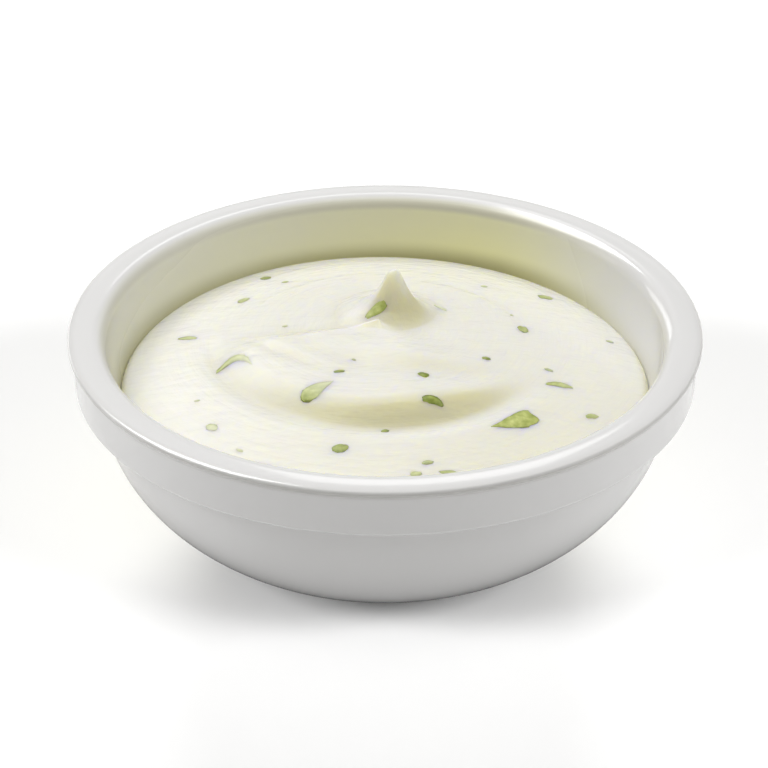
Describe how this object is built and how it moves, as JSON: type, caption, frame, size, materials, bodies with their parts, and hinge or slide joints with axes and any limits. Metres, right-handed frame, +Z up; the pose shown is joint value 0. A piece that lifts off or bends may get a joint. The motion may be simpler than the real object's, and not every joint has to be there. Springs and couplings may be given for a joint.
{
  "type": "bowl of cheese dip",
  "caption": "Small round white ceramic dip bowl with an upright rim band, filled with a pale swirled cheese dip drawn up to one peak, with chopped green herb on it.",
  "frame": {"origin": "on the table under the middle of the bowl", "axes": "+Z up, along the bowl's axis; the picture looks along +Y, so the front of the bowl is at -Y and the dip's peak lies a little behind the middle"},
  "size_m": [0.11, 0.11, 0.0447],
  "materials": {
    "glaze": "gloss",
    "dip": "satin",
    "herb": "satin"
  },
  "bodies": {
    "root": {"bowl": "glaze", "dip": "dip"}
  },
  "joints": []
}
